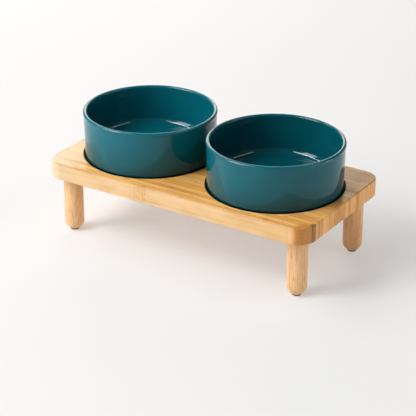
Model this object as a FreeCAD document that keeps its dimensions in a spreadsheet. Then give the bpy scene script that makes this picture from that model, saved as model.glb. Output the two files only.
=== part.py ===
import FreeCAD, Part
import math
import os
import Sketcher

# Elevated double pet bowl: a bamboo board on four round legs carries two glazed bowls.
# Lengths are in millimetres. The origin is on the floor under the middle of the board,
# X runs along the board, Y towards the rear and Z up.

SIZES = {
    # Bowls
    "bowl_lip_diameter": 152.0,  # outside of the rolled lip
    "bowl_height": 56.5,
    "bowl_wall": 4.4,
    "bowl_lip_overhang": 0.6,  # how far the lip stands out over the wall
    "bowl_draft": 0.9,  # radius lost from lip to base
    "bowl_floor": 7.5,  # thickness of the floor
    "bowl_floor_round": 8.5,  # inside, between wall and floor
    "bowl_base_round": 4.0,  # outside, between wall and foot
    "bowl_lip_crease_round": 1.0,
    "bowl_foot_height": 2.5,  # hollow under the floor
    "bowl_foot_width": 9.0,
    "bowl_foot_round": 0.8,
    "bowl_gap": 12.5,  # between the two lips
    # Board
    "board_thickness": 20.0,
    "board_end_margin": 10.5,  # wood left between a recess and the end
    "board_side_margin": 8.6,  # wood left between a recess and the long side
    "board_corner_round": 21.0,
    "board_edge_round": 1.5,
    "recess_depth": 5.0,
    "recess_clearance": 2.2,  # between a bowl and the wall of its recess
    "recess_edge_round": 0.6,
    # Seat rings
    "seat_ring_thickness": 1.0,
    "seat_ring_clearance": 0.4,  # between a ring and the wall of its recess
    "seat_ring_margin": 1.0,  # how far a ring reaches in past the foot
    "seat_edge_thickness": 1.3,
    "seat_edge_drop": 0.4,  # top of a ring's edge below the top of the board
    "seat_edge_round": 0.4,
    # Legs
    "leg_diameter": 22.0,
    "leg_length": 67.5,  # from the flat under the dome to the board
    "leg_end_inset": 22.0,  # leg axis from the end of the board
    "leg_side_inset": 23.4,  # leg axis from the long side
    "leg_top_round": 0.5,
    "bore_allowance": 1.0,  # depth left below what a hole holds
    # Feet
    "foot_pad_diameter": 10.0,
    "foot_pad_thickness": 1.5,
    "foot_pad_round": 0.5,
    # Hanger bolts
    "bolt_diameter": 8.0,
    "bolt_wood_length": 30.0,  # screwed into the leg
    "bolt_machine_length": 12.0,  # screwed into the board
    "bolt_tip_length": 5.0,
    "bolt_neck_length": 3.0,
    "bolt_neck_depth": 0.6,
    "bolt_chamfer": 0.8,
    "thread_clearance": 0.1,
    # Threaded inserts
    "insert_length": 13.0,
    "insert_wall": 2.2,
    "insert_flange_overhang": 1.8,
    "insert_flange_thickness": 1.6,
    "insert_chamfer": 1.0,
    "insert_clearance": 0.1,
    "insert_socket_margin": 0.6,  # hex socket flats over the thread
    "insert_socket_depth": 4.0,
}

# Rise of a drill point as a share of its radius
DRILL_POINT_SHARE = 0.6
SHAPE_TOLERANCE_SHARE = 1e-3


class Length:
    """A length together with the sheet formula that drives it."""

    def __init__(self, value, formula):
        self.value = value
        self.formula = formula

    def __add__(self, other):
        return Length(self.value + other.value, f"({self.formula} + {other.formula})")

    def __sub__(self, other):
        return Length(self.value - other.value, f"({self.formula} - {other.formula})")

    def __mul__(self, factor):
        return Length(self.value * factor, f"({self.formula} * {factor!r})")

    def __truediv__(self, divisor):
        return Length(self.value / divisor, f"({self.formula} / {divisor!r})")

    def other_side(self, side):
        """Third side of a right triangle with this length as its longest side."""
        value = math.sqrt(self.value**2 - side.value**2)
        return Length(value, f"sqrt({self.formula} ^ 2 - {side.formula} ^ 2)")


ZERO = Length(0.0, "0")

doc = FreeCAD.newDocument("elevated_double_pet_bowl")
sheet = doc.addObject("Spreadsheet::Sheet", "Sizes")
for row, (name, number) in enumerate(SIZES.items(), start=1):
    sheet.set(f"A{row}", name)
    sheet.set(f"B{row}", str(number))
    sheet.setAlias(f"B{row}", name)
doc.recompute()


def size(name):
    return Length(float(sheet.get(name)), f"Sizes.{name}")


def new_body(label):
    body = doc.addObject("PartDesign::Body", label)
    body.Label = label
    return body


def place(body, x, y, z):
    for axis, length in zip("xyz", (x, y, z)):
        body.setExpression(f"Placement.Base.{axis}", length.formula)


def new_sketch(body, name, plane_role, lift=ZERO):
    planes = [feature for feature in body.Origin.OriginFeatures if feature.Role == plane_role]
    sketch = body.newObject("Sketcher::SketchObject", name)
    sketch.AttachmentSupport = [(planes[0], "")]
    sketch.MapMode = "FlatFace"
    sketch.setExpression("AttachmentOffset.Base.z", lift.formula)
    return sketch


def pin_point(sketch, geometry, point, x, y):
    """Fix one point of a sketch at x, y from the sketch origin."""
    # A sketch numbers its level axis -1, whose first point is the origin, and its upright axis -2.
    for kind, axis, length in (("DistanceX", -2, x), ("DistanceY", -1, y)):
        if length.value == 0:
            sketch.addConstraint(Sketcher.Constraint("PointOnObject", geometry, point, axis))
            continue
        index = sketch.addConstraint(
            Sketcher.Constraint(kind, -1, 1, geometry, point, length.value)
        )
        sketch.setExpression(f"Constraints[{index}]", length.formula)


def pin_radius(sketch, geometry, radius):
    index = sketch.addConstraint(Sketcher.Constraint("Radius", geometry, radius.value))
    sketch.setExpression(f"Constraints[{index}]", radius.formula)


def arc_between(start, end, radius):
    """Arc of less than half a turn that runs counterclockwise from start to end."""
    chord = end - start
    left = FreeCAD.Vector(-chord.y, chord.x, 0).normalize()
    centre = (start + end) / 2 + left * math.sqrt(radius**2 - (chord.Length / 2) ** 2)
    first = math.atan2(start.y - centre.y, start.x - centre.x)
    last = math.atan2(end.y - centre.y, end.x - centre.x)
    circle = Part.Circle(centre, FreeCAD.Vector(0, 0, 1), radius)
    return Part.ArcOfCircle(circle, first, last)


def draw_outline(sketch, corners, arcs=None):
    """Draw a closed outline. arcs gives the radius of each side that is an arc, by its first corner."""
    arcs = arcs or {}
    points = [FreeCAD.Vector(x.value, y.value, 0) for x, y in corners]
    count = len(corners)
    for side in range(count):
        start = points[side]
        end = points[(side + 1) % count]
        if side in arcs:
            sketch.addGeometry(arc_between(start, end, arcs[side].value), False)
        else:
            sketch.addGeometry(Part.LineSegment(start, end), False)
    for side in range(count):
        sketch.addConstraint(Sketcher.Constraint("Coincident", side, 2, (side + 1) % count, 1))
    for side, (x, y) in enumerate(corners):
        pin_point(sketch, side, 1, x, y)
    for side, radius in arcs.items():
        pin_radius(sketch, side, radius)


def draw_circle(sketch, x, y, radius):
    centre = FreeCAD.Vector(x.value, y.value, 0)
    circle = Part.Circle(centre, FreeCAD.Vector(0, 0, 1), radius.value)
    geometry = sketch.addGeometry(circle, False)
    pin_point(sketch, geometry, 3, x, y)
    pin_radius(sketch, geometry, radius)


def turn_outline(body, name, corners, arcs=None):
    """Turn a half section, given as radius and height pairs, about the body's Z axis."""
    sketch = new_sketch(body, f"{name}_section", "XZ_Plane")
    draw_outline(sketch, corners, arcs)
    turned = body.newObject("PartDesign::Revolution", name)
    turned.Profile = sketch
    turned.ReferenceAxis = (sketch, ["V_Axis"])
    turned.Angle = 360
    doc.recompute()
    return turned


def round_edges(body, name, edges, radius):
    if not edges:
        raise ValueError(f"no edge found for {name}")
    base = body.Tip
    fillet = body.newObject("PartDesign::Fillet", name)
    fillet.Base = (base, edges)
    fillet.setExpression("Radius", radius.formula)
    doc.recompute()
    return fillet


def cut_pocket(body, name, sketch, depth, upward, volume):
    """Cut a pocket up or down from its sketch and check the volume it takes away."""
    before = body.Shape.Volume
    pocket = body.newObject("PartDesign::Pocket", name)
    pocket.Profile = sketch
    pocket.Reversed = upward
    pocket.setExpression("Length", depth.formula)
    doc.recompute()
    taken = before - body.Shape.Volume
    if abs(taken - volume) > SHAPE_TOLERANCE_SHARE * volume:
        raise ValueError(f"{name} takes {taken:.1f} cubic millimetres, not {volume:.1f}")
    return pocket


def disc_volume(radius, depth):
    return math.pi * radius.value**2 * depth.value


def ring_edges(shape, radius, height):
    """Names of the full circles of one radius and height about the Z axis or another upright axis."""
    names = []
    for number, edge in enumerate(shape.Edges, start=1):
        if not isinstance(edge.Curve, Part.Circle):
            continue
        near = SHAPE_TOLERANCE_SHARE * radius.value
        if abs(edge.Curve.Radius - radius.value) < near and abs(edge.Curve.Center.z - height.value) < near:
            names.append(f"Edge{number}")
    return names


def upright_edges(shape):
    names = []
    for number, edge in enumerate(shape.Edges, start=1):
        if edge.BoundBox.ZLength > max(edge.BoundBox.XLength, edge.BoundBox.YLength):
            names.append(f"Edge{number}")
    return names


def level_edges(shape):
    names = []
    for number, edge in enumerate(shape.Edges, start=1):
        if edge.BoundBox.ZLength < SHAPE_TOLERANCE_SHARE * shape.BoundBox.ZLength:
            names.append(f"Edge{number}")
    return names


# Places and fits that several pieces share
lip_radius = size("bowl_lip_diameter") / 2
wall_top_radius = lip_radius - size("bowl_lip_overhang")
base_radius = wall_top_radius - size("bowl_draft")
foot_outer_radius = base_radius - size("bowl_base_round")
foot_inner_radius = foot_outer_radius - size("bowl_foot_width")
recess_radius = base_radius + size("recess_clearance")
bowl_x = (size("bowl_lip_diameter") + size("bowl_gap")) / 2
board_half_length = bowl_x + recess_radius + size("board_end_margin")
board_half_depth = recess_radius + size("board_side_margin")
leg_x = board_half_length - size("leg_end_inset")
leg_y = board_half_depth - size("leg_side_inset")
leg_radius = size("leg_diameter") / 2
bolt_radius = size("bolt_diameter") / 2
bolt_bore_radius = bolt_radius + size("thread_clearance")
insert_radius = bolt_bore_radius + size("insert_wall")
flange_radius = insert_radius + size("insert_flange_overhang")
board_underside = size("foot_pad_thickness") + size("leg_length")
recess_floor = board_underside + size("board_thickness") - size("recess_depth")
bowl_seat = recess_floor + size("seat_ring_thickness")

SIDES = {"left": -1, "right": 1}
LEG_PLACES = {
    f"{row}_{side}": (leg_x * x_sign, leg_y * y_sign)
    for row, y_sign in (("front", -1), ("rear", 1))
    for side, x_sign in SIDES.items()
}


def make_board():
    """Laminated board with a round recess for each bowl and a stepped blind hole over each leg."""
    body = new_body("stand_board")
    outline = new_sketch(body, "board_outline", "XY_Plane")
    corners = [(board_half_length * x, board_half_depth * y) for x, y in ((-1, -1), (1, -1), (1, 1), (-1, 1))]
    draw_outline(outline, corners)
    slab = body.newObject("PartDesign::Pad", "board_slab")
    slab.Profile = outline
    slab.setExpression("Length", size("board_thickness").formula)
    doc.recompute()
    corners_round = round_edges(body, "board_corners", upright_edges(slab.Shape), size("board_corner_round"))
    round_edges(body, "board_edges", level_edges(corners_round.Shape), size("board_edge_round"))

    recesses = new_sketch(body, "bowl_recess_outlines", "XY_Plane", size("board_thickness"))
    for sign in SIDES.values():
        draw_circle(recesses, bowl_x * sign, ZERO, recess_radius)
    depth = size("recess_depth")
    recess = cut_pocket(body, "bowl_recesses", recesses, depth, False, 2 * disc_volume(recess_radius, depth))
    mouths = ring_edges(recess.Shape, recess_radius, size("board_thickness"))
    round_edges(body, "bowl_recess_edges", mouths, size("recess_edge_round"))

    flange_hole_radius = flange_radius + size("insert_clearance")
    flange_depth = size("insert_flange_thickness")
    seats = new_sketch(body, "insert_flange_outlines", "XY_Plane")
    for x, y in LEG_PLACES.values():
        draw_circle(seats, x, y, flange_hole_radius)
    cut_pocket(
        body, "insert_flange_seats", seats, flange_depth, True, 4 * disc_volume(flange_hole_radius, flange_depth)
    )

    hole_radius = insert_radius + size("insert_clearance")
    hole_depth = size("insert_length") + size("bore_allowance")
    holes = new_sketch(body, "insert_hole_outlines", "XY_Plane")
    for x, y in LEG_PLACES.values():
        draw_circle(holes, x, y, hole_radius)
    cut_pocket(
        body, "insert_holes", holes, hole_depth, True, 4 * disc_volume(hole_radius, hole_depth - flange_depth)
    )
    place(body, ZERO, ZERO, board_underside)
    return body


def make_seat_ring(side):
    """Soft ring that lines a recess: a flat under the foot of a bowl and a thin edge round the bowl."""
    body = new_body(f"seat_ring_{side}")
    inner = foot_inner_radius - size("seat_ring_margin")
    outer = recess_radius - size("seat_ring_clearance")
    edge_inner = outer - size("seat_edge_thickness")
    flat_top = size("seat_ring_thickness")
    edge_top = size("recess_depth") - size("seat_edge_drop")
    corners = [
        (inner, ZERO),
        (outer, ZERO),
        (outer, edge_top),
        (edge_inner, edge_top),
        (edge_inner, flat_top),
        (inner, flat_top),
    ]
    turned = turn_outline(body, "seat_ring", corners)
    rims = ring_edges(turned.Shape, outer, edge_top) + ring_edges(turned.Shape, edge_inner, edge_top)
    round_edges(body, "seat_ring_edge", rims, size("seat_edge_round"))
    place(body, bowl_x * SIDES[side], ZERO, recess_floor)
    return body


def make_bowl(side):
    """Straight-sided bowl with a rolled lip, a hollow foot and a rounded inside corner."""
    body = new_body(f"bowl_{side}")
    bead = (size("bowl_wall") + size("bowl_lip_overhang")) / 2
    bead_x = lip_radius - bead
    bead_z = size("bowl_height") - bead
    crease_z = bead_z - bead.other_side(wall_top_radius - bead_x)
    inner_top_radius = bead_x - bead
    inner_base_radius = base_radius - size("bowl_wall")
    foot_height = size("bowl_foot_height")
    floor_z = foot_height + size("bowl_floor")
    corners = [
        (ZERO, foot_height),
        (foot_inner_radius, foot_height),
        (foot_inner_radius, ZERO),
        (base_radius, ZERO),
        (wall_top_radius, crease_z),
        (bead_x, size("bowl_height")),
        (inner_top_radius, bead_z),
        (inner_base_radius, floor_z),
        (ZERO, floor_z),
    ]
    shell = turn_outline(body, "bowl_shell", corners, {4: bead, 5: bead})
    floor_edge = ring_edges(shell.Shape, inner_base_radius, floor_z)
    floor_round = round_edges(body, "bowl_floor_corner", floor_edge, size("bowl_floor_round"))
    base_edge = ring_edges(floor_round.Shape, base_radius, ZERO)
    base_round = round_edges(body, "bowl_base_corner", base_edge, size("bowl_base_round"))
    crease = ring_edges(base_round.Shape, wall_top_radius, crease_z)
    crease_round = round_edges(body, "bowl_lip_crease", crease, size("bowl_lip_crease_round"))
    foot_edges = ring_edges(crease_round.Shape, foot_inner_radius, ZERO)
    foot_edges += ring_edges(crease_round.Shape, foot_inner_radius, foot_height)
    round_edges(body, "bowl_foot_edges", foot_edges, size("bowl_foot_round"))
    place(body, bowl_x * SIDES[side], ZERO, bowl_seat)
    return body


def make_leg(where):
    """Round leg with a domed end, a small flat for its foot pad and a bore for its bolt."""
    body = new_body(f"leg_{where}")
    pad_radius = size("foot_pad_diameter") / 2
    top = size("leg_length")
    dome_z = leg_radius.other_side(pad_radius)
    bore_z = top - size("bolt_wood_length") - size("bore_allowance")
    corners = [
        (ZERO, ZERO),
        (pad_radius, ZERO),
        (leg_radius, dome_z),
        (leg_radius, top),
        (bolt_bore_radius, top),
        (bolt_bore_radius, bore_z),
        (ZERO, bore_z - bolt_bore_radius * DRILL_POINT_SHARE),
    ]
    turned = turn_outline(body, "leg_turned", corners, {1: leg_radius})
    round_edges(body, "leg_top_edge", ring_edges(turned.Shape, leg_radius, top), size("leg_top_round"))
    place(body, *LEG_PLACES[where], size("foot_pad_thickness"))
    return body


def make_foot_pad(where):
    """Soft round pad under the flat of a leg."""
    body = new_body(f"foot_pad_{where}")
    radius = size("foot_pad_diameter") / 2
    edge = size("foot_pad_round")
    top = size("foot_pad_thickness")
    corners = [(ZERO, ZERO), (radius - edge, ZERO), (radius, edge), (radius, top), (ZERO, top)]
    turn_outline(body, "foot_pad", corners, {1: edge})
    place(body, *LEG_PLACES[where], ZERO)
    return body


def make_hanger_bolt(where):
    """Headless bolt: a pointed wood end, a narrow neck and a machine end."""
    body = new_body(f"hanger_bolt_{where}")
    wood_end = size("bolt_wood_length")
    neck_start = wood_end - size("bolt_neck_length")
    neck_radius = bolt_radius - size("bolt_neck_depth")
    top = wood_end + size("bolt_machine_length")
    chamfer = size("bolt_chamfer")
    corners = [
        (ZERO, ZERO),
        (bolt_radius, size("bolt_tip_length")),
        (bolt_radius, neck_start),
        (neck_radius, neck_start),
        (neck_radius, wood_end),
        (bolt_radius, wood_end),
        (bolt_radius, top - chamfer),
        (bolt_radius - chamfer, top),
        (ZERO, top),
    ]
    turn_outline(body, "hanger_bolt", corners)
    place(body, *LEG_PLACES[where], board_underside - wood_end)
    return body


def make_threaded_insert(where):
    """Flanged insert with a through bore and a hexagonal driving socket in its flange."""
    body = new_body(f"threaded_insert_{where}")
    flange_top = size("insert_flange_thickness")
    top = size("insert_length")
    chamfer = size("insert_chamfer")
    corners = [
        (bolt_bore_radius, ZERO),
        (flange_radius, ZERO),
        (flange_radius, flange_top),
        (insert_radius, flange_top),
        (insert_radius, top - chamfer),
        (insert_radius - chamfer, top),
        (bolt_bore_radius, top),
    ]
    turn_outline(body, "insert_shell", corners)
    half_flats = bolt_bore_radius + size("insert_socket_margin")
    corner_radius = half_flats / math.cos(math.pi / 6)
    angles = [math.pi / 6 + step * math.pi / 3 for step in range(6)]
    hexagon = [
        (corner_radius * round(math.cos(angle), 12), corner_radius * round(math.sin(angle), 12)) for angle in angles
    ]
    socket = new_sketch(body, "insert_socket_outline", "XY_Plane")
    draw_outline(socket, hexagon)
    depth = size("insert_socket_depth")
    hexagon_area = 2 * math.sqrt(3) * half_flats.value**2
    removed = hexagon_area * depth.value - disc_volume(bolt_bore_radius, depth)
    cut_pocket(body, "insert_socket", socket, depth, True, removed)
    place(body, *LEG_PLACES[where], board_underside)
    return body


bodies = [make_board()]
for side in SIDES:
    bodies.append(make_seat_ring(side))
    bodies.append(make_bowl(side))
for where in LEG_PLACES:
    bodies.append(make_threaded_insert(where))
    bodies.append(make_hanger_bolt(where))
    bodies.append(make_leg(where))
    bodies.append(make_foot_pad(where))
doc.recompute()

for item in doc.Objects:
    if "Invalid" in item.State or "Error" in item.State:
        raise ValueError(f"{item.Label} did not compute: {item.State}")
os.makedirs("parts", exist_ok=True)
for body in bodies:
    if body.Shape.isNull() or not body.Shape.isValid() or len(body.Shape.Solids) != 1:
        raise ValueError(f"{body.Label} is not one valid solid")
    body.Shape.exportStep(f"parts/{body.Label}.step")
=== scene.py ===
import math

import bmesh
import bpy
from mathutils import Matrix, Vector


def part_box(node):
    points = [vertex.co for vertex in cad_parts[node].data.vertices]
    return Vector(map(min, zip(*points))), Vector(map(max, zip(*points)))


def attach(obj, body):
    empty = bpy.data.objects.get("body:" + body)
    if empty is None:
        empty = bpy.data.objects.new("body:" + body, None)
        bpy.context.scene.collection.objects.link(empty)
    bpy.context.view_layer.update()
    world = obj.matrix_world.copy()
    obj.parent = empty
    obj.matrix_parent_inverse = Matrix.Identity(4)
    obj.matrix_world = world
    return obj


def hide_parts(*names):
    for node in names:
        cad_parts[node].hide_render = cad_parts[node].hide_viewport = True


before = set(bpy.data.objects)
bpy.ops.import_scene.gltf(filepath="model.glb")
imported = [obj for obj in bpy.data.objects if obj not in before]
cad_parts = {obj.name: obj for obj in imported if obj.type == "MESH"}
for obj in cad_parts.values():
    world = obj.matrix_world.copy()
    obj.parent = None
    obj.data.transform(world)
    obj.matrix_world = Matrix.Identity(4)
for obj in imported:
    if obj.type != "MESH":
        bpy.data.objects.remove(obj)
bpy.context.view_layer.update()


# Stand board
# One 20 mm board of bamboo strips glued side by side on edge, cut to a rounded rectangle
# and varnished. It is routed from above for the bowls and drilled from below for the legs.

board_low, board_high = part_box("stand_board")
corner_round, corner_steps = 0.021, 20
edge_round, edge_steps = 0.0015, 5
bowl_places = {"left": -0.08225, "right": 0.08225}
recess_radius = 0.0767
recess_floor = 0.084
recess_edge_round = 0.0006
router_flare = 0.004
router_flare_start = board_high.z + 0.0006
router_top = board_high.z + 0.004
router_steps = 144
leg_places = {
    "front_left": (-0.14745, -0.0619),
    "front_right": (0.14745, -0.0619),
    "rear_left": (-0.14745, 0.0619),
    "rear_right": (0.14745, 0.0619),
}
drill_start = board_low.z - 0.003
flange_radius, flange_end = 0.0082, 0.0707
socket_radius, socket_end = 0.0064, 0.0825
drill_steps = 48
round_steps = 8
same_place = 1e-6
sharp_from = math.radians(35)


def choose_points(piece, wanted):
    """Select the points that pass the test, in the piece being edited."""
    bpy.ops.mesh.select_mode(type="VERT")
    bpy.ops.mesh.select_all(action="DESELECT")
    mesh = bmesh.from_edit_mesh(piece.data)
    for point in mesh.verts:
        point.select_set(wanted(point.co))
    mesh.select_flush_mode()
    bmesh.update_edit_mesh(piece.data)


def choose_edges(piece, wanted):
    """Select the edges whose two ends pass the test, in the piece being edited."""
    bpy.ops.mesh.select_mode(type="EDGE")
    bpy.ops.mesh.select_all(action="DESELECT")
    mesh = bmesh.from_edit_mesh(piece.data)
    for edge in mesh.edges:
        edge.select_set(wanted(edge.verts[0].co, edge.verts[1].co))
    mesh.select_flush_mode()
    bmesh.update_edit_mesh(piece.data)


def pick_only(piece):
    """Select one piece and make it the one worked on."""
    bpy.ops.object.select_all(action="DESELECT")
    piece.select_set(True)
    bpy.context.view_layer.objects.active = piece


def turn_on_lathe(name, middle, outline, rounds, steps):
    """Draw half a section from point to point, round the named corners and spin it round."""
    bpy.ops.object.select_all(action="DESELECT")
    bpy.ops.mesh.primitive_plane_add(size=0.001, location=(0, 0, 0))
    piece = bpy.context.object
    piece.name = name
    piece.data.name = name
    bpy.ops.object.mode_set(mode="EDIT")
    bpy.ops.mesh.select_mode(type="VERT")
    bpy.ops.mesh.select_all(action="SELECT")
    bpy.ops.mesh.merge(type="CENTER")
    start = (middle[0] + outline[0][0], middle[1], outline[0][1])
    bpy.ops.transform.translate(value=start)
    for (radius, height), (next_radius, next_height) in zip(outline, outline[1:]):
        step = (next_radius - radius, 0, next_height - height)
        bpy.ops.mesh.extrude_region_move(TRANSFORM_OT_translate={"value": step})
    for corner, size in rounds.items():
        radius, height = outline[corner]
        place = Vector((middle[0] + radius, middle[1], height))
        choose_points(piece, lambda point: (point - place).length < same_place)
        bpy.ops.mesh.bevel(offset=size, segments=round_steps, affect="VERTICES")
    bpy.ops.mesh.select_all(action="SELECT")
    centre = (middle[0], middle[1], 0)
    bpy.ops.mesh.spin(steps=steps, angle=math.tau, center=centre, axis=(0, 0, 1))
    bpy.ops.mesh.select_all(action="SELECT")
    bpy.ops.mesh.remove_doubles(threshold=2 * same_place)
    bpy.ops.mesh.normals_make_consistent(inside=False)
    bpy.ops.object.mode_set(mode="OBJECT")
    bpy.ops.object.shade_smooth_by_angle(angle=sharp_from)
    return piece


bpy.ops.object.select_all(action="DESELECT")
bpy.ops.mesh.primitive_cube_add(size=1, location=(board_low + board_high) / 2)
board = bpy.context.object
board.name = "bamboo_board"
board.data.name = "bamboo_board"
board.scale = board_high - board_low
bpy.ops.object.transform_apply(location=True, rotation=True, scale=True)
bpy.ops.object.mode_set(mode="EDIT")
choose_edges(board, lambda start, end: abs(start.z - end.z) > edge_round)
bpy.ops.mesh.bevel(offset=corner_round, segments=corner_steps, affect="EDGES")
choose_edges(board, lambda start, end: min(start.z, end.z) > board_high.z - same_place)
bpy.ops.mesh.bevel(offset=edge_round, segments=edge_steps, affect="EDGES")
choose_edges(board, lambda start, end: max(start.z, end.z) < board_low.z + same_place)
bpy.ops.mesh.bevel(offset=edge_round, segments=edge_steps, affect="EDGES")
bpy.ops.object.mode_set(mode="OBJECT")

# The router's flare starts just above the board, so that no two faces lie in one plane.
router_outline = [
    (0, recess_floor), (recess_radius, recess_floor), (recess_radius, board_high.z),
    (recess_radius + router_flare, router_flare_start),
    (recess_radius + router_flare, router_top), (0, router_top),
]
drill_outline = [
    (0, drill_start), (flange_radius, drill_start), (flange_radius, flange_end),
    (socket_radius, flange_end), (socket_radius, socket_end), (0, socket_end),
]
cutters = []
for side, middle in bowl_places.items():
    cutters.append(turn_on_lathe(
        f"router_{side}", (middle, 0), router_outline, {2: recess_edge_round}, router_steps))
for where, middle in leg_places.items():
    cutters.append(turn_on_lathe(f"drill_{where}", middle, drill_outline, {}, drill_steps))
for cutter in cutters:
    pick_only(board)
    bpy.ops.object.modifier_add(type="BOOLEAN")
    cut = board.modifiers[-1]
    cut.operation = "DIFFERENCE"
    cut.solver = "EXACT"
    cut.object = cutter
    bpy.ops.object.modifier_apply(modifier=cut.name)
bpy.ops.object.select_all(action="DESELECT")
for cutter in cutters:
    cutter.select_set(True)
bpy.ops.object.delete()
pick_only(board)
bpy.ops.object.shade_smooth_by_angle(angle=sharp_from)
bpy.ops.object.modifier_add(type="WEIGHTED_NORMAL")
board.modifiers[-1].keep_sharp = True
bpy.ops.object.modifier_apply(modifier=board.modifiers[-1].name)


def new_finish(name):
    """An empty finish, its node tree and its shader."""
    finish = bpy.data.materials.new(name)
    finish.use_nodes = True
    return finish, finish.node_tree, finish.node_tree.nodes["Principled BSDF"]


def join(tree, value, socket):
    """Give a socket a plain value, or link another node's output to it."""
    if isinstance(value, bpy.types.NodeSocket):
        tree.links.new(value, socket)
    else:
        socket.default_value = value


def lay(tree, kind, settings=None, **sockets):
    """Add a node, set its options, and join its sockets by name (_ for a space) or number (s0)."""
    node = tree.nodes.new("ShaderNode" + kind)
    for option, value in (settings or {}).items():
        setattr(node, option, value)
    for name, value in sockets.items():
        key = int(name[1:]) if name[1:].isdigit() else name.replace("_", " ")
        join(tree, value, node.inputs[key])
    return node


def sum_of(tree, kind, first, second=0.0, third=0.0):
    """One step of arithmetic on numbers or sockets."""
    return lay(tree, "Math", {"operation": kind}, s0=first, s1=second, s2=third).outputs[0]


def times(tree, *parts):
    """Multiply numbers or sockets together."""
    product = parts[0]
    for part in parts[1:]:
        product = sum_of(tree, "MULTIPLY", product, part)
    return product


def fade(tree, value, start, end, low=0.0, high=1.0, kind="LINEAR"):
    """Go from low to high while a value goes from start to end, and stay level outside them."""
    return lay(tree, "MapRange", {"interpolation_type": kind}, Value=value, From_Min=start,
               From_Max=end, To_Min=low, To_Max=high).outputs[0]


def shades(tree, factor, stops):
    """Run a factor through a row of colours, each at its own place from 0 to 1."""
    ramp = lay(tree, "ValToRGB", Fac=factor)
    points = ramp.color_ramp.elements
    while len(points) < len(stops):
        points.new(0.5)
    for point, (place, colour) in zip(points, stops):
        point.position = place
        point.color = (*colour, 1.0)
    return ramp.outputs["Color"]


def tint(tree, amount, under, over, kind="MIX"):
    """Lay one colour over another by an amount."""
    mix = lay(tree, "Mix", {"data_type": "RGBA", "blend_type": kind, "clamp_factor": True},
              Factor=amount, s6=under, s7=over)
    return mix.outputs[2]


def speckle(tree, place, scale, **kinds):
    """Soft random specks, from 0 to 1."""
    return lay(tree, "TexNoise", Vector=place, Scale=scale, **kinds).outputs["Fac"]


def stretched(tree, along, across, up, scales):
    """A place in the wood, squeezed or drawn out along each way of the grain."""
    parts = [times(tree, part, scale) for part, scale in zip((along, across, up), scales)]
    return lay(tree, "CombineXYZ", X=parts[0], Y=parts[1], Z=parts[2]).outputs[0]


def from_bowl_middle(tree, along, across):
    """How far a place is from the upright line through the middle of the nearer bowl."""
    off_middle = sum_of(tree, "SUBTRACT", sum_of(tree, "ABSOLUTE", along), bowl_places["right"])
    across_squared = times(tree, across, across)
    squared = sum_of(tree, "MULTIPLY_ADD", off_middle, off_middle, across_squared)
    return sum_of(tree, "SQRT", squared)


def dress(piece, finish):
    """Give a piece one finish all over."""
    piece.data.materials.clear()
    piece.data.materials.append(finish)


# Marks in the wood. A pair of places is the stretch over which a mark fades in or out.
most_specks = (0.3, 0.7)
strip_width = 0.0061
strip_slide = 7.0
fibre_scales, streak_scales = (9.0, 420.0, 330.0), (6.0, 620.0, 400.0)
cloud_scales, dash_scales = (26.0, 60.0, 60.0), (70.0, 300.0, 300.0)
knuckle_spacing = 0.27
ring_wave_scale, ring_waver = 300.0, 0.028
ring_edge, ring_share = (0.034, 0.012), 0.6
end_grain, end_grain_share = (0.1645, 0.1685), 0.05
skin_from, skin_from_left = 0.0838, 0.070
left_skin = (-0.155, -0.125)
skin_depth = 0.0014
# Painted sheen: the wood is tinted paler towards the left end.
painted_sheen_end, painted_sheen_share = (-0.115, -0.158), 0.75
golden_end = (0.0, 0.13)
front_knuckle, front_knuckle_reach = -0.030, 0.032
mark_waver, mark_overrun = 0.006, 0.003
mottle_scale, mottle_edge, mottle_shares = 420.0, (0.38, 0.62), (0.1, 0.95)
glue_edge, glue_share, glue_depth = (0.47, 0.5), 0.4, -1.5
honey_along, honey_across, honey_share = (0.1515, 0.158), (-0.066, -0.074), 0.75
dark_strip, dark_strip_half, dark_strip_start = -0.0675, 0.0035, 0.1655
dark_strip_fibres, dark_strip_shares = (0.35, 0.65), (0.92, 0.5)
# Painted shade: a black ring on the edge of each recess, where the gap round the bowl lies in
# shade.
gap_shade_ring, gap_shade_share = (recess_radius + 0.0002, recess_radius + 0.0006), 0.88
gap_shade_from = recess_floor + 0.0005
# Painted shade and extra roughness along the top front edge.
shaded_edge_across, shaded_edge_up = (-0.0832, -0.0840), (0.0868, 0.0876)
rubbed_dullness = 0.45
varnish_scale, varnish_roughness = 55.0, (0.33, 0.46)
bamboo_relief, bamboo_bump = 0.0004, 0.12
strip_tones = [(0.0, (0.72, 0.335, 0.075)), (0.3, (0.86, 0.435, 0.112)),
               (0.65, (0.94, 0.51, 0.150)), (1.0, (0.96, 0.565, 0.195))]
fibre_tones = [(0.30, (0.72, 0.62, 0.50)), (0.5, (0.98, 0.97, 0.95)), (0.70, (1.0, 1.0, 1.0))]
cloud_tones = [(0.35, (0.90, 0.86, 0.80)), (0.6, (1.0, 1.0, 1.0))]
pale_skin, golden_skin = (0.90, 0.63, 0.34, 1), (0.875, 0.575, 0.265, 1)
painted_sheen_wood = (0.79, 0.60, 0.42, 1)
streak_brown, dash_brown = (0.40, 0.175, 0.038, 1), (0.34, 0.135, 0.03, 1)
knuckle_brown, front_knuckle_tan = (0.44, 0.20, 0.05, 1), (0.70, 0.36, 0.10, 1)
glue_brown, honey = (0.36, 0.16, 0.04, 1), (0.50, 0.19, 0.026, 1)
dark_strip_brown, gap_shade_black = (0.15, 0.050, 0.012, 1), (0.06, 0.028, 0.010, 1)
painted_edge_shade = (0.76, 0.70, 0.62, 1)

bamboo, tree, shader = new_finish("varnished_bamboo")
place = lay(tree, "TexCoord").outputs["Object"]
axes = lay(tree, "SeparateXYZ", Vector=place).outputs
along, across, height = axes["X"], axes["Y"], axes["Z"]

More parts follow.
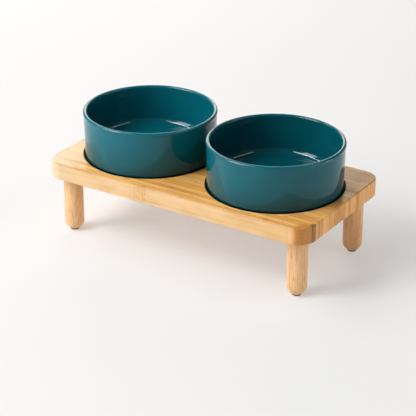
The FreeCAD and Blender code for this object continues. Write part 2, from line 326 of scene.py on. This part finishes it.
# Each strip has its own tone and its own length of stem. At the sawn ends the fibres run up
# the whole end face.
strip_place = sum_of(tree, "DIVIDE", across, strip_width)
strip = sum_of(tree, "FLOOR", strip_place)
strip_chance = lay(tree, "TexWhiteNoise", {"noise_dimensions": "1D"}, W=strip).outputs
chance = lay(tree, "SeparateColor", Color=strip_chance["Color"]).outputs
slid = sum_of(tree, "MULTIPLY_ADD", chance["Red"], strip_slide, along)
from_centre = sum_of(tree, "ABSOLUTE", along)
up = times(tree, height, fade(tree, from_centre, *end_grain, 1.0, end_grain_share))
fibres = speckle(tree, stretched(tree, slid, across, up, fibre_scales), 1.0,
                 Detail=4.0, Roughness=0.62)
streaks = speckle(tree, stretched(tree, slid, across, up, streak_scales), 1.0,
                  Detail=3.0, Roughness=0.55)
cloud = speckle(tree, stretched(tree, slid, across, up, cloud_scales), 1.0, Detail=3.0)
dashes = speckle(tree, stretched(tree, slid, across, up, dash_scales), 1.0,
                 Detail=2.0, Roughness=0.5)

# The long sides show the pale skin of the outer strips, wider at the left and more golden
# to the right. Towards the left end the wood is tinted paler, as a painted sheen.
skin_start = fade(tree, along, *left_skin, skin_from_left, skin_from)
depth_in = sum_of(tree, "SUBTRACT", sum_of(tree, "ABSOLUTE", across), skin_start)
skin = fade(tree, depth_in, 0.0, skin_depth)
no_skin = sum_of(tree, "SUBTRACT", 1.0, skin)
skin_tone = tint(tree, fade(tree, along, *golden_end), pale_skin, golden_skin)
tone = tint(tree, skin, shades(tree, strip_chance["Value"], strip_tones), skin_tone)
tone = tint(tree, fade(tree, along, *painted_sheen_end, 0.0, painted_sheen_share), tone, painted_sheen_wood)

# Fibres, clouds, dark streaks and short dashes, all fainter in the skin.
fibre_share = sum_of(tree, "MULTIPLY_ADD", skin, -0.55, 1.0)
wood = tint(tree, fibre_share, tone, shades(tree, fibres, fibre_tones), "MULTIPLY")
wood = tint(tree, 1.0, wood, shades(tree, cloud, cloud_tones), "MULTIPLY")
streak = shades(tree, streaks, [(0.55, (0, 0, 0)), (0.68, (1, 1, 1))])
streak_share = sum_of(tree, "MULTIPLY_ADD", skin, -0.42, 0.55)
wood = tint(tree, times(tree, streak, streak_share), wood, streak_brown)
dash = shades(tree, dashes, [(0.66, (0, 0, 0)), (0.72, (1, 1, 1))])
dash_share = sum_of(tree, "MULTIPLY_ADD", skin, -0.55, 0.7)
wood = tint(tree, times(tree, dash, dash_share), wood, dash_brown)

# A knuckle of the stem crosses each strip, and one shows as a mottled tan mark on the front.
ring_wave = speckle(tree, place, ring_wave_scale, Detail=3.0)
ring_place = sum_of(tree, "MULTIPLY_ADD", along, 1 / knuckle_spacing, chance["Green"])
ring_gap = sum_of(tree, "SUBTRACT", sum_of(tree, "FRACT", ring_place), 0.5)
ring_gap = sum_of(tree, "ABSOLUTE", ring_gap)
ring_gap = sum_of(tree, "MULTIPLY_ADD", ring_wave, ring_waver, ring_gap)
knuckle = fade(tree, ring_gap, *ring_edge, 0.0, ring_share, "SMOOTHSTEP")
wood = tint(tree, times(tree, knuckle, no_skin), wood, knuckle_brown)
mark_fade = fade(tree, along, front_knuckle - front_knuckle_reach, front_knuckle)
mark_edge = sum_of(tree, "MULTIPLY_ADD", ring_wave, mark_waver, along)
mark_side = sum_of(tree, "LESS_THAN", mark_edge, front_knuckle + mark_overrun)
mottle = speckle(tree, place, mottle_scale, Detail=2.0)
mottle = fade(tree, mottle, *mottle_edge, *mottle_shares)
wood = tint(tree, times(tree, mark_fade, mark_side, mottle, skin), wood, front_knuckle_tan)

# Glue lines between the strips, the honey-coloured right front corner and the end of one
# very dark strip.
strip_edge = sum_of(tree, "SUBTRACT", sum_of(tree, "FRACT", strip_place), 0.5)
strip_edge = sum_of(tree, "ABSOLUTE", strip_edge)
glue_line = fade(tree, strip_edge, *glue_edge, 0.0, glue_share)
wood = tint(tree, glue_line, wood, glue_brown)
corner = times(tree, fade(tree, along, *honey_along), fade(tree, across, *honey_across), no_skin)
wood = tint(tree, times(tree, corner, honey_share), wood, honey)
in_dark_strip = sum_of(tree, "COMPARE", across, dark_strip, dark_strip_half)
at_end = sum_of(tree, "GREATER_THAN", along, dark_strip_start)
dark_share = fade(tree, fibres, *dark_strip_fibres, *dark_strip_shares)
wood = tint(tree, times(tree, in_dark_strip, at_end, dark_share), wood, dark_strip_brown)

# Painted shade blackens the edge of each recess round the bowl's gap, and painted shade darkens
# the top front edge, which is also made duller.
# Painted shade of the gap round each bowl, laid on the recess edge.
painted_gap_shade = fade(tree, from_bowl_middle(tree, along, across), *gap_shade_ring, gap_shade_share, 0.0)
painted_gap_shade = times(tree, painted_gap_shade, sum_of(tree, "GREATER_THAN", height, gap_shade_from))
wood = tint(tree, painted_gap_shade, wood, gap_shade_black)
# Painted shade darkens the top front edge, and the same band is made rougher further down.
shaded_dull_edge = times(tree, fade(tree, across, *shaded_edge_across), fade(tree, height, *shaded_edge_up))
wood = tint(tree, shaded_dull_edge, wood, painted_edge_shade, "MULTIPLY")
join(tree, wood, shader.inputs["Base Color"])
varnish = speckle(tree, place, varnish_scale, Detail=3.0)
varnish = fade(tree, varnish, *most_specks, *varnish_roughness)
dullness = sum_of(tree, "MULTIPLY_ADD", shaded_dull_edge, rubbed_dullness, varnish)
join(tree, dullness, shader.inputs["Roughness"])
relief = sum_of(tree, "MULTIPLY_ADD", glue_line, glue_depth, fibres)
bump = lay(tree, "Bump", Strength=bamboo_bump, Distance=bamboo_relief, Height=relief)
join(tree, bump.outputs[0], shader.inputs["Normal"])
shader.inputs["IOR"].default_value = 1.5

dress(board, bamboo)
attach(board, "stand")
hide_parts("stand_board")


# Legs
# Four round legs turned from pale hardwood, domed at the foot and bored at the top for a
# bolt. They are sanded, clear lacquered and screwed up tight against the board.

leg_radius = 0.011
leg_top, leg_top_round = 0.069, 0.0005
leg_foot = 0.0015
dome_height, dome_rows = 0.009798, 12
dome_start = leg_foot + dome_height
bore_radius, bore_end = 0.00405, 0.038
leg_steps = 64
leg_tones = [(0.28, (0.52, 0.24, 0.090)), (0.44, (0.80, 0.470, 0.212)),
             (0.6, (0.91, 0.592, 0.310)), (0.78, (0.75, 0.425, 0.190))]
leg_grain_scales, pore_scales = (260.0, 260.0, 14.0), (1300.0, 1300.0, 120.0)
pore_brown, pore_share, pore_depth = (0.50, 0.18, 0.048, 1), 0.50, -0.1
lacquer_roughness = (0.38, 0.5)
leg_relief, leg_bump = 0.0003, 0.12


def copy_away(piece, name, step):
    """Copy a finished piece with its mesh, and set the copy down one step away."""
    pick_only(piece)
    bpy.ops.object.duplicate()
    copy = bpy.context.object
    copy.name = name
    copy.data.name = name
    bpy.ops.transform.translate(value=step)
    bpy.ops.object.transform_apply(location=True, rotation=True, scale=True)
    return copy


def one_at_each_leg(kind, outline, rounds, steps):
    """Turn a piece at the first leg's place, and copy it to the other legs."""
    first, *others = leg_places
    pieces = {first: turn_on_lathe(f"{kind}_{first}", leg_places[first], outline, rounds, steps)}
    for where in others:
        step = (leg_places[where][0] - leg_places[first][0],
                leg_places[where][1] - leg_places[first][1], 0)
        pieces[where] = copy_away(pieces[first], f"{kind}_{where}", step)
    return pieces


outline = [(0, bore_end), (bore_radius, bore_end), (bore_radius, leg_top), (leg_radius, leg_top)]
lowest = math.asin((dome_start - leg_foot) / leg_radius)
for row in range(dome_rows + 1):
    turn = lowest * row / dome_rows
    outline.append((leg_radius * math.cos(turn), dome_start - leg_radius * math.sin(turn)))
outline.append((0, leg_foot))
legs = one_at_each_leg("turned_leg", outline, {3: leg_top_round}, leg_steps)

leg_wood, tree, shader = new_finish("lacquered_leg_wood")
place = lay(tree, "TexCoord").outputs["Object"]
axes = lay(tree, "SeparateXYZ", Vector=place).outputs
grain_place = stretched(tree, axes["X"], axes["Y"], axes["Z"], leg_grain_scales)
grain = speckle(tree, grain_place, 1.0, Detail=5.0, Roughness=0.6, Distortion=0.4)
pore_place = stretched(tree, axes["X"], axes["Y"], axes["Z"], pore_scales)
pores = speckle(tree, pore_place, 1.0, Detail=2.0, Roughness=0.5)
pore = shades(tree, pores, [(0.57, (0, 0, 0)), (0.66, (1, 1, 1))])
wood = tint(tree, times(tree, pore, pore_share), shades(tree, grain, leg_tones), pore_brown)
join(tree, wood, shader.inputs["Base Color"])
lacquer = fade(tree, grain, *most_specks, *lacquer_roughness)
join(tree, lacquer, shader.inputs["Roughness"])
relief = sum_of(tree, "MULTIPLY_ADD", pore, pore_depth, grain)
bump = lay(tree, "Bump", Strength=leg_bump, Distance=leg_relief, Height=relief)
join(tree, bump.outputs[0], shader.inputs["Normal"])

for where, leg in legs.items():
    dress(leg, leg_wood)
    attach(leg, "stand")
    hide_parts(f"leg_{where}")


# Foot pads
# A small dark rubber button is glued to the flat under each leg, so that the stand
# neither slips nor marks the floor.

pad_radius = 0.005
pad_height = 0.0015
pad_edge_round = 0.0005
pad_steps = 40
rubber_relief, rubber_bump = 0.0001, 0.2
outline = [(0, 0), (pad_radius, 0), (pad_radius, pad_height), (0, pad_height)]
pads = one_at_each_leg("rubber_foot", outline, {1: pad_edge_round}, pad_steps)


def speckled_finish(name, scale, detail, dark, light, smoothest, roughest):
    """A finish whose colour and roughness both follow one fine speckle."""
    finish, tree, shader = new_finish(name)
    place = lay(tree, "TexCoord").outputs["Object"]
    specks = speckle(tree, place, scale, Detail=detail)
    colour = shades(tree, specks, list(zip(most_specks, (dark, light))))
    join(tree, colour, shader.inputs["Base Color"])
    roughness = fade(tree, specks, *most_specks, smoothest, roughest)
    join(tree, roughness, shader.inputs["Roughness"])
    return finish, tree, shader, specks


foot_rubber, tree, shader, specks = speckled_finish(
    "brown_foot_rubber", scale=1400.0, detail=3.0, dark=(0.20, 0.078, 0.022),
    light=(0.28, 0.11, 0.034), smoothest=0.6, roughest=0.8)
shader.inputs["Specular IOR Level"].default_value = 0.1
bump = lay(tree, "Bump", Strength=rubber_bump, Distance=rubber_relief, Height=specks)
join(tree, bump.outputs[0], shader.inputs["Normal"])
for where, pad in pads.items():
    dress(pad, foot_rubber)
    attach(pad, "stand")
    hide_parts(f"foot_pad_{where}")


# Bowls
# Two straight-sided feeding bowls of cast stoneware with a rolled lip and a shallow foot
# ring, dipped in a dark teal gloss glaze. Each stands loose in its recess.

bowl_bottom, bowl_top = 0.085, 0.1415
foot_inside, foot_height = 0.0615, 0.0025
base_radius = 0.0745
wall_top_radius, wall_top = 0.0754, 0.052375
bead_middle, bead_height, bead_radius = 0.0735, 0.054, 0.0025
bead_rows = 20
inside_top_radius, inside_floor_radius, inside_floor = 0.071, 0.0701, 0.010
foot_round, base_round, under_bead_round, floor_round = 0.0008, 0.004, 0.001, 0.0085
bowl_steps = 160
thick_up, thick_out = (0.1035, 0.1005), (0.058, 0.062)
glaze_shine, thick_shine = 0.5, 0.6378
glaze_cloud_scale, glaze_roughness = 38.0, (0.025, 0.045)
peel_scale, glaze_relief, glaze_bump = 160.0, 0.0004, 0.03
pooled_teals = [(0.3, (0.0012, 0.090, 0.120)), (0.7, (0.002, 0.104, 0.136))]
wall_teals = [(0.3, (0.002, 0.116, 0.153)), (0.7, (0.003, 0.136, 0.175))]
# Painted shade: the outer glaze darkens towards the foot and is nearly black where it sits in the
# recess.
foot_shade_levels = [(0.07, (0.05, 0.04, 0.035)), (0.10, (0.55, 0.55, 0.55)), (0.24, (0.71, 0.71, 0.71)),
               (0.60, (0.93, 0.93, 0.93)), (0.92, (1.02, 1.02, 1.02))]
# Painted shade: the right bowl's glaze is darkened, more inside than outside, for the weaker light
# it gets.
right_bowl_shade_levels = [(0.0, (0.71, 0.71, 0.71)), (1.0, (0.90, 0.90, 0.90))]

outline = [(0, bowl_bottom + foot_height), (foot_inside, bowl_bottom + foot_height),
           (foot_inside, bowl_bottom), (base_radius, bowl_bottom)]
bead_start = math.atan2(wall_top - bead_height, wall_top_radius - bead_middle)
for row in range(bead_rows + 1):
    turn = bead_start + (math.pi - bead_start) * row / bead_rows
    outline.append((bead_middle + bead_radius * math.cos(turn),
                    bowl_bottom + bead_height + bead_radius * math.sin(turn)))
outline += [(inside_floor_radius, bowl_bottom + inside_floor), (0, bowl_bottom + inside_floor)]
rounds = {1: foot_round, 2: foot_round, 3: base_round, 4: under_bead_round,
          len(outline) - 2: floor_round}
left_bowl = turn_on_lathe(
    "glazed_bowl_left", (bowl_places["left"], 0), outline, rounds, bowl_steps)
bowl_step = (bowl_places["right"] - bowl_places["left"], 0, 0)
bowls = {"left": left_bowl, "right": copy_away(left_bowl, "glazed_bowl_right", bowl_step)}

# Outside, the glaze is painted darker from the lip to a nearly black foot, as painted shade low
# on the wall and in the recess. The right bowl is painted a little darker as painted shade, and
# the round of each inner floor, where glaze pools, shines more.
glaze, tree, shader = new_finish("teal_gloss_glaze")
place = lay(tree, "TexCoord").outputs["Object"]
axes = lay(tree, "SeparateXYZ", Vector=place).outputs
from_middle = from_bowl_middle(tree, axes["X"], axes["Y"])
outside = fade(tree, from_middle, inside_top_radius, bead_middle)
cloud = speckle(tree, place, glaze_cloud_scale, Detail=3.0)
painted_foot_shade = shades(tree, fade(tree, axes["Z"], bowl_bottom, bowl_top), foot_shade_levels)
wall_coat = tint(tree, 1.0, shades(tree, cloud, wall_teals), painted_foot_shade, "MULTIPLY")
coat = tint(tree, outside, shades(tree, cloud, pooled_teals), wall_coat)
# Painted shade on the right bowl, where X is above 0.
right_bowl_shade = tint(tree, 1.0, coat, shades(tree, outside, right_bowl_shade_levels), "MULTIPLY")
coat = tint(tree, sum_of(tree, "GREATER_THAN", axes["X"], 0.0), coat, right_bowl_shade)
join(tree, coat, shader.inputs["Base Color"])
dullness = fade(tree, cloud, *most_specks, *glaze_roughness)
join(tree, dullness, shader.inputs["Roughness"])
peel = speckle(tree, place, peel_scale, Detail=1.0)
bump = lay(tree, "Bump", Strength=glaze_bump, Distance=glaze_relief, Height=peel)
join(tree, bump.outputs[0], shader.inputs["Normal"])
inside = sum_of(tree, "SUBTRACT", 1.0, outside)
low_down, near_wall = fade(tree, axes["Z"], *thick_up), fade(tree, from_middle, *thick_out)
thick = times(tree, low_down, near_wall, inside)
shine = fade(tree, thick, 0.0, 1.0, glaze_shine, thick_shine)
join(tree, shine, shader.inputs["Specular IOR Level"])
shader.inputs["IOR"].default_value = 1.38

for side, bowl in bowls.items():
    dress(bowl, glaze)
    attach(bowl, f"bowl_{side}")
    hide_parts(f"bowl_{side}")


# Seat rings
# A moulded ring of dark silicone lies loose in each recess under the bowl's foot. Its thin
# edge stands up round the bowl and shows only as a dark line.

silicone, _, shader, _ = speckled_finish(
    "dark_seat_silicone", scale=900.0, detail=3.0, dark=(0.003, 0.003, 0.003),
    light=(0.008, 0.008, 0.008), smoothest=0.55, roughest=0.75)
shader.inputs["Specular IOR Level"].default_value = 0.15
for side in bowl_places:
    dress(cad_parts[f"seat_ring_{side}"], silicone)


# Leg fittings
# A zinc-plated hanger bolt is driven into the top of each leg and screws into a flanged
# brass insert in the board's socket. Both are hidden once the leg is tight.

zinc, _, shader, _ = speckled_finish(
    "zinc_plated_steel", scale=700.0, detail=4.0, dark=(0.50, 0.51, 0.54),
    light=(0.66, 0.67, 0.69), smoothest=0.28, roughest=0.45)
shader.inputs["Metallic"].default_value = 1.0
brass, _, shader, _ = speckled_finish(
    "plain_insert_brass", scale=600.0, detail=4.0, dark=(0.50, 0.33, 0.10),
    light=(0.70, 0.49, 0.18), smoothest=0.3, roughest=0.45)
shader.inputs["Metallic"].default_value = 1.0
for where in leg_places:
    dress(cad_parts[f"hanger_bolt_{where}"], zinc)
    dress(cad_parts[f"threaded_insert_{where}"], brass)


# Floor, light and camera
# A wide plain pale floor under a tall soft lamp from the front left, with a long thin lamp
# at the side, a warm one behind, a low warm fill and a weak one at the right.

floor_size = 14
floor_white_share = 0.38
bpy.ops.object.select_all(action="DESELECT")
bpy.ops.mesh.primitive_plane_add(size=floor_size, location=(0, 0, 0))
floor = bpy.context.object
floor.name = "pale_floor"
floor_paint, tree, shader = new_finish("pale_floor_paint")
shader.inputs["Base Color"].default_value = (0.72, 0.715, 0.71, 1)
shader.inputs["Roughness"].default_value = 0.9
shader.inputs["Specular IOR Level"].default_value = 0.0
rays = lay(tree, "LightPath").outputs
seen = sum_of(tree, "MAXIMUM", rays["Is Camera Ray"], rays["Is Glossy Ray"])
seen = sum_of(tree, "MAXIMUM", seen, rays["Is Transmission Ray"])
glow = lay(tree, "Emission", Color=(1, 1, 1, 1), Strength=1.0)
paint = lay(tree, "MixShader", Fac=times(tree, seen, floor_white_share),
            s1=shader.outputs[0], s2=glow.outputs[0])
join(tree, paint.outputs[0], tree.nodes["Material Output"].inputs["Surface"])
floor.data.materials.append(floor_paint)

lamp_aim = Vector((0, 0, 0.07))
white, warm = (1.0, 1.0, 1.0), (1.0, 0.88, 0.76)
lamps = {
    "soft_key": ((-1.80, -2.28, 1.985), (1.6, 3.0), 116, white),
    "soft_side": ((-1.043, -0.757, 1.839), (3.0, 0.11), 33, white),
    "soft_back": ((-0.95, 1.25, 0.8), (1.2, 0.6), 9.5, warm),
    "low_fill": ((2.648, 0.86, 0.22), (2.0, 0.36), 22.0, warm),
    "weak_right": ((1.371, 0.444, 1.718), (1.5, 0.10), 6.0, white),
}
for name, (place, size, power, colour) in lamps.items():
    bpy.ops.object.light_add(type="AREA", location=place)
    lamp = bpy.context.object
    lamp.name = name
    lamp.data.shape = "RECTANGLE"
    lamp.data.size, lamp.data.size_y = size
    lamp.data.energy = power
    lamp.data.color = colour
    lamp.rotation_euler = (lamp.location - lamp_aim).to_track_quat("Z", "Y").to_euler()

# The camera sees a white room, gloss mirrors walls that darken upwards, and the rest gets a
# weak even fill.
even_fill = 0.09
wall_rise, wall_low, wall_high = (0.2, 0.6), 0.35, 0.04
world = bpy.data.worlds.new("studio")
bpy.context.scene.world = world
world.use_nodes = True
tree = world.node_tree
background = tree.nodes["Background"]
background.inputs["Color"].default_value = (1, 1, 1, 1)
rays = lay(tree, "LightPath").outputs
mirrored = sum_of(tree, "MAXIMUM", rays["Is Glossy Ray"], rays["Is Transmission Ray"])
way_up = lay(tree, "SeparateXYZ", Vector=lay(tree, "TexCoord").outputs["Generated"]).outputs["Z"]
walls = fade(tree, way_up, *wall_rise, wall_low, wall_high)
level = fade(tree, mirrored, 0.0, 1.0, even_fill, walls)
level = fade(tree, rays["Is Camera Ray"], 0.0, 1.0, level, 1.0)
join(tree, level, background.inputs["Strength"])

azimuth, elevation = math.radians(32.942), math.radians(25.313)
camera_aim = Vector((-0.0048, 0, 0.0373))
camera_distance = 1.7632
away = Vector((math.sin(azimuth) * math.cos(elevation),
               -math.cos(azimuth) * math.cos(elevation), math.sin(elevation)))
bpy.ops.object.camera_add(location=camera_aim + away * camera_distance,
                          rotation=away.to_track_quat("Z", "Y").to_euler())
camera = bpy.context.object
camera.data.lens = 135
camera.data.sensor_width = 36
bpy.context.scene.camera = camera
bpy.context.scene.view_settings.view_transform = "Standard"
